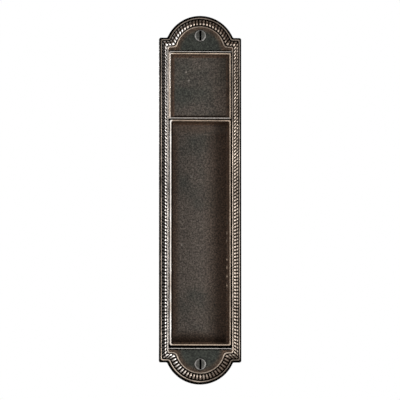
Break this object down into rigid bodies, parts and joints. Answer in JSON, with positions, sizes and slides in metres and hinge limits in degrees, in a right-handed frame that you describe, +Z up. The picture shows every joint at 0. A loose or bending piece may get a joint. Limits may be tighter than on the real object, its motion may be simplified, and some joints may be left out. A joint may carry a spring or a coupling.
{
  "type": "pocket door pull",
  "caption": "Tall bronze flush pull for a pocket door: an arched plate with a twisted rope border, a shallow recess above and a deep finger tray below, fixed by slotted screws.",
  "frame": {"origin": "in the plane of the door's face, half way between the two mounting screws", "axes": "+Z up along the plate, +Y into the door, +X to the right as seen from the room"},
  "size_m": [0.0636, 0.0285, 0.285],
  "materials": {
    "plate_bronze": "cast bronze with a dark oiled patina, rubbed to tan on the rope, lip and bead",
    "tray_bronze": "cast bronze with a dark oiled patina, rubbed on the rim",
    "screw_bronze": "dark patinated bronze, slots darker",
    "tray_screw_brass": "plain dull brass"
  },
  "bodies": {
    "root": {"faceplate": "plate_bronze", "pull_tray": "tray_bronze", "mounting_screws": "screw_bronze", "tray_screws": "tray_screw_brass"}
  },
  "joints": []
}
